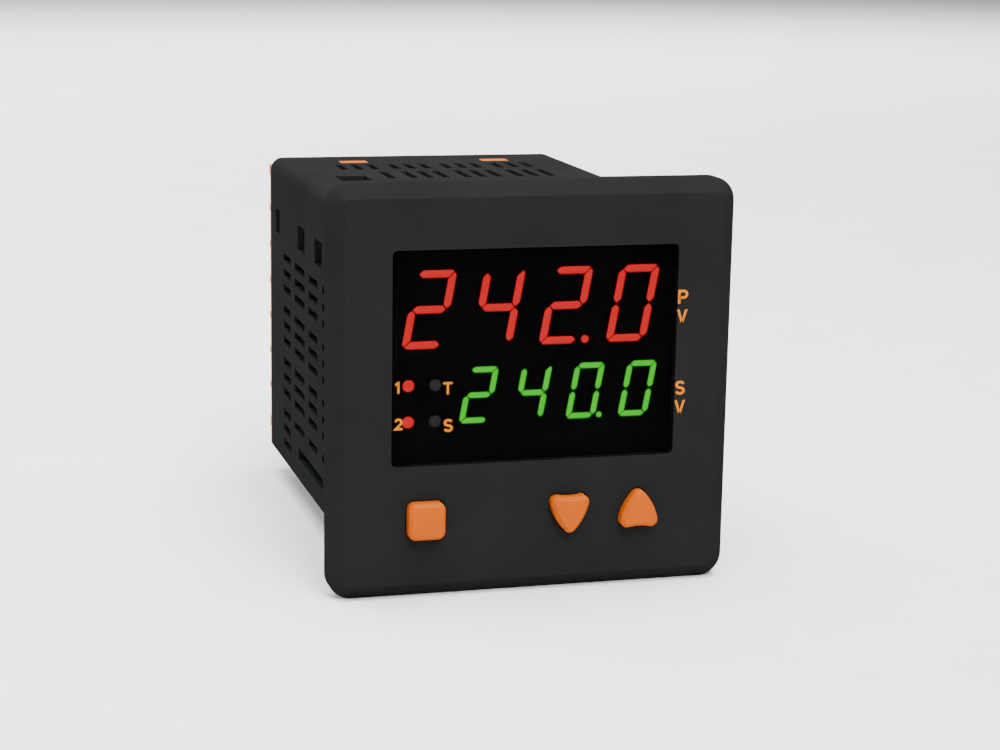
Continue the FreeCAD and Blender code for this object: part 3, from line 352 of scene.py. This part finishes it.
def prism(points, faces, outline, front, back):
    """Adds a closed prism along Y to points and faces; the outline holds (x, z) pairs."""
    first, count = len(points), len(outline)
    points += [(x, front, z) for x, z in outline] + [(x, back, z) for x, z in outline]
    faces.append([first + i for i in range(count)])
    faces.append([first + count + i for i in reversed(range(count))])
    for i in range(count):
        after = (i + 1) % count
        faces.append([first + after, first + i, first + count + i, first + count + after])


def islands(node):
    """The low and high corners of each separate solid of a CAD node, in metres."""
    shape = bmesh.new()
    shape.from_mesh(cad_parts[node].data)
    bmesh.ops.remove_doubles(shape, verts=shape.verts, dist=WELD_DISTANCE)
    unseen, found = set(shape.verts), []
    while unseen:
        group, waiting = set(), [unseen.pop()]
        while waiting:
            vertex = waiting.pop()
            group.add(vertex)
            for edge in vertex.link_edges:
                other = edge.other_vert(vertex)
                if other in unseen:
                    unseen.remove(other)
                    waiting.append(other)
        places = [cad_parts[node].matrix_world @ vertex.co for vertex in group]
        found.append((Vector(map(min, zip(*places))), Vector(map(max, zip(*places)))))
    shape.free()
    return sorted(found, key=lambda box: (box[0].x, box[0].z))


# screw heads, in millimetres; ARC_STEPS makes a quarter turn
SLOT_WIDTH = 0.8
SLOT_DEPTH = 1.0
HEAD_EDGE = 0.12
ARC_STEPS = 8


def quarter(centre_x, centre_z, radius, turn):
    """One quarter of a screw head's top, between two arms of its cross slot."""
    half = SLOT_WIDTH / 2 * MM
    start = math.asin(half / radius)
    sweep = math.pi / 2 - 2 * start
    rim = [start + sweep * step / ARC_STEPS for step in range(ARC_STEPS + 1)]
    corner = (half, half)
    outline = [corner] + [(radius * math.cos(a), radius * math.sin(a)) for a in rim]
    cos, sin = math.cos(turn), math.sin(turn)
    return [(centre_x + x * cos - z * sin, centre_z + x * sin + z * cos) for x, z in outline]


def make_screw_heads():
    """Cross-slotted pan heads in place of the plain heads of the terminal screws."""
    points, faces = [], []
    for low, high in islands("terminal_screws"):
        radius = (high.x - low.x) / 2
        x, z = (low.x + high.x) / 2, (low.z + high.z) / 2
        floor = high.y - SLOT_DEPTH * MM
        steps = 4 * ARC_STEPS
        disc = [(x + radius * math.cos(math.tau * i / steps),
                 z + radius * math.sin(math.tau * i / steps)) for i in range(steps)]
        prism(points, faces, disc[::-1], floor, low.y)
        for number in range(4):
            prism(points, faces, quarter(x, z, radius, math.pi / 2 * number), high.y, floor)
    heads = new_piece("terminal_screw_heads", points, faces, STEEL, "root",
                      HEAD_EDGE)
    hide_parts("terminal_screws")


# lamp rims, in millimetres: how far they stand out of the mask, and their least width
FRAME_DEPTH = 0.05
FRAME_LIP = 0.3


def make_lamp_frames():
    """Black rims on the mask, round inside and square outside, one about each lamp."""
    mask_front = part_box("display_mask")[0].y
    front, steps = mask_front - FRAME_DEPTH * MM, 4 * ARC_STEPS
    points, faces = [], []
    for low, high in islands("output_lamps") + islands("status_lamps"):
        radius = (high.x - low.x) / 2
        half = radius + FRAME_LIP * MM
        x, z = (low.x + high.x) / 2, (low.z + high.z) / 2
        for i in range(steps):
            outline = []
            for turn in (math.tau * i / steps, math.tau * (i + 1) / steps):
                cos, sin = math.cos(turn), math.sin(turn)
                reach = half / max(abs(cos), abs(sin))
                outline.append(((x + radius * cos, z + radius * sin),
                                (x + reach * cos, z + reach * sin)))
            (inner_a, outer_a), (inner_b, outer_b) = outline
            prism(points, faces, [inner_a, outer_a, outer_b, inner_b][::-1], front, mask_front)
    new_piece("lamp_frames", points, faces, MODULE, "root")


# ------------------------------------------------------------------ printed marks

def arc(centre_x, centre_z, reach, rise, start, end, steps=10):
    """Points along an arc; angles in degrees."""
    turns = [math.radians(start + (end - start) * step / steps) for step in range(steps + 1)]
    return [(centre_x + reach * math.cos(a), centre_z + rise * math.sin(a)) for a in turns]


# pen strokes of each sign, one unit high, and a stroke's width in the same unit;
# MITRE_LIMIT keeps the step at a sharp corner short
STROKE = 0.185
MITRE_LIMIT = 0.4
SIGNS = {
    "1": [[(0.30, -0.1), (0.30, 1.1)], [(0.02, 0.74), (0.16, 0.76), (0.27, 0.92)]],
    "2": [arc(0.33, 0.66, 0.235, 0.245, 172, -38) + [(0.10, 0.095), (0.66, 0.095)]],
    "P": [[(0.10, -0.1), (0.10, 0.905), (0.40, 0.905)] + arc(0.42, 0.67, 0.24, 0.235, 80, -80)
          + [(0.40, 0.435), (0.10, 0.435)]],
    "S": [arc(0.36, 0.705, 0.26, 0.2, 18, 262) + arc(0.36, 0.295, 0.27, 0.2, 82, -162)],
    "T": [[(0.0, 0.905), (0.74, 0.905)], [(0.37, -0.1), (0.37, 0.85)]],
    "V": [[(0.06, 1.08), (0.37, -0.08)], [(0.68, 1.08), (0.37, -0.08)]],
}

# The marks stand at gaps in millimetres, across and up from the CAD boxes to the sign's
# middle. The gaps were matched to the photograph.
# beside the lamps: node, sign, gaps from the middle of the node's box, height of the sign
LAMP_MARKS = [
    ("output_lamps", "1", -3.5, 4.75, 2.8),
    ("output_lamps", "2", -2.9, -3.75, 2.8),
    ("status_lamps", "T", 2.1, 4.15, 2.9),
    ("status_lamps", "S", 2.3, -4.55, 3.1),
]
# beside the figures: node, sign, gap from the window's right side, gap from the middle
# height of the node's box, height of the sign
FIGURE_MARKS = [
    ("upper_segments", "P", -0.3, 1.8, 3.3),
    ("upper_segments", "V", -0.4, -2.8, 3.2),
    ("lower_segments", "S", -0.3, 0.5, 3.4),
    ("lower_segments", "V", -0.25, -4.1, 3.3),
]
MARK_LIFT = 0.02


def offsets(path):
    """The sideways step at each point of a path, which keeps a stroke's width."""
    steps = []
    for i, (x, z) in enumerate(path):
        before = Vector(path[i]) - Vector(path[i - 1]) if i else None
        after = Vector(path[i + 1]) - Vector(path[i]) if i + 1 < len(path) else None
        along = [part.normalized() for part in (before, after) if part]
        middle = sum(along, Vector((0, 0))).normalized()
        side = Vector((-middle.y, middle.x))
        steps.append(side * STROKE / 2 / max(side.dot(Vector((-along[0].y, along[0].x))),
                                            MITRE_LIMIT))
    return steps


def mark_places():
    """Each mark's sign, middle in metres, height in millimetres, and what it is printed on."""
    for node, sign, across, up, height in LAMP_MARKS:
        low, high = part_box(node)
        middle = (low + high) / 2
        yield sign, middle.x + across * MM, middle.z + up * MM, height, "display_window"
    window_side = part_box("display_window")[1].x
    for node, sign, across, up, height in FIGURE_MARKS:
        low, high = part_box(node)
        level = (low.z + high.z) / 2
        yield sign, window_side + across * MM, level + up * MM, height, "front_bezel"


def make_marks():
    """Small generic letters and figures printed beside the lamps and displays."""
    for number, (sign, across, up, height, carrier) in enumerate(mark_places()):
        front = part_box(carrier)[0].y - MARK_LIFT * MM
        paths = SIGNS[sign]
        reaches = [x for path in paths for x, z in path]
        middle = (min(reaches) + max(reaches)) / 2
        points, faces = [], []
        for path in paths:
            sides = [(Vector(spot) + step, Vector(spot) - step)
                     for spot, step in zip(path, offsets(path))]
            for (left_a, right_a), (left_b, right_b) in zip(sides, sides[1:]):
                first = len(points)
                for spot in (left_a, left_b, right_b, right_a):
                    level = min(max(spot.y, 0), 1) - 0.5
                    points.append((across + (spot.x - middle) * height * MM, front,
                                   up + level * height * MM))
                faces.append([first, first + 1, first + 2, first + 3])
        new_piece(f"mark_{number}", points, faces, PRINT, "root")


# ------------------------------------------------------------------ stage

# matched to the photograph's viewing angle: place in millimetres, viewing direction, and
# the turn about it in degrees
CAMERA_PLACE = (-144.92, -488.08, 110.38)
CAMERA_FORWARD = (0.26661, 0.94099, -0.20846)
CAMERA_ROLL = 1.01
CAMERA_LENS = 80.71
SENSOR_WIDTH = 36.0
CLIP_START = 0.01


def make_camera():
    """The camera at the photograph's viewing angle, without shift."""
    lens = bpy.data.cameras.new("camera")
    lens.lens = CAMERA_LENS
    lens.sensor_width = SENSOR_WIDTH
    lens.clip_start = CLIP_START
    made = bpy.data.objects.new("camera", lens)
    bpy.context.scene.collection.objects.link(made)
    forward = Vector(CAMERA_FORWARD).normalized()
    level = forward.to_track_quat("-Z", "Y").to_matrix().to_4x4()
    roll = Matrix.Rotation(math.radians(CAMERA_ROLL), 4, "Z")
    made.matrix_world = Matrix.Translation(Vector(CAMERA_PLACE) * MM) @ level @ roll
    bpy.context.scene.camera = made


# metres from the middle to each side
FLOOR_HALF = 6.0


def make_floor():
    """A plain pale floor at the height of the object's lowest point."""
    low = CAD_BOX[0][2]
    corners = [(-1, -1), (1, -1), (1, 1), (-1, 1)]
    mesh = bpy.data.meshes.new("floor")
    mesh.from_pydata([(x * FLOOR_HALF, y * FLOOR_HALF, low) for x, y in corners], [],
                     [(0, 1, 2, 3)])
    floor = bpy.data.objects.new("floor", mesh)
    bpy.context.scene.collection.objects.link(floor)
    made, nodes, links, shader = material("pale_floor")
    fine = grain(nodes, links, 30.0)
    links.new(tint(nodes, links, fine.outputs["Fac"], (0.84, 0.84, 0.84), (0.88, 0.88, 0.88)),
              shader.inputs["Base Color"])
    set_sockets(shader, Roughness=0.9)
    mesh.materials.append(made)


# strength of the light from all around
SURROUND = 0.38
# a point inside the case, 40 mm behind the bezel's back plane
CASE_AIM = (0, 0.04, 0)
# place and size in metres, watts, spread in degrees, and what the light is aimed at
LIGHTS = {
    "top_light": ((0.0, -0.05, 1.2), (1.3, 1.0), 48, 180, CASE_AIM),
    "front_light": ((0.1, -0.9, 1.1), (0.5, 0.5), 3.2, 60, CASE_AIM),
    "left_light": ((-0.9, 1.0, 0.45), (0.8, 0.6), 19, 180, CASE_AIM),
    "floor_light": ((0.3, 1.8, 1.1), (2.4, 1.2), 45, 120, (0.3, 1.7, 0)),
}


def soft_light(name, place, size, power, spread_angle, target):
    """A rectangular area light at a place, aimed at a target."""
    lamp = bpy.data.lights.new(name, "AREA")
    lamp.shape = "RECTANGLE"
    lamp.size, lamp.size_y = size
    lamp.energy = power
    lamp.spread = math.radians(spread_angle)
    made = bpy.data.objects.new(name, lamp)
    bpy.context.scene.collection.objects.link(made)
    aim = (Vector(target) - Vector(place)).to_track_quat("-Z", "Y").to_matrix().to_4x4()
    made.matrix_world = Matrix.Translation(place) @ aim


def make_lights():
    """A pale surround, soft lights above, in front and behind on the left, and a floor light."""
    world = bpy.data.worlds.new("surround")
    bpy.context.scene.world = world
    world.use_nodes = True
    backdrop = world.node_tree.nodes["Background"]
    backdrop.inputs["Color"].default_value = (1, 1, 1, 1)
    backdrop.inputs["Strength"].default_value = SURROUND
    for name, settings in LIGHTS.items():
        soft_light(name, *settings)


dress_all()
make_screw_heads()
make_lamp_frames()
make_marks()
make_camera()
make_floor()
make_lights()

bpy.context.view_layer.update()
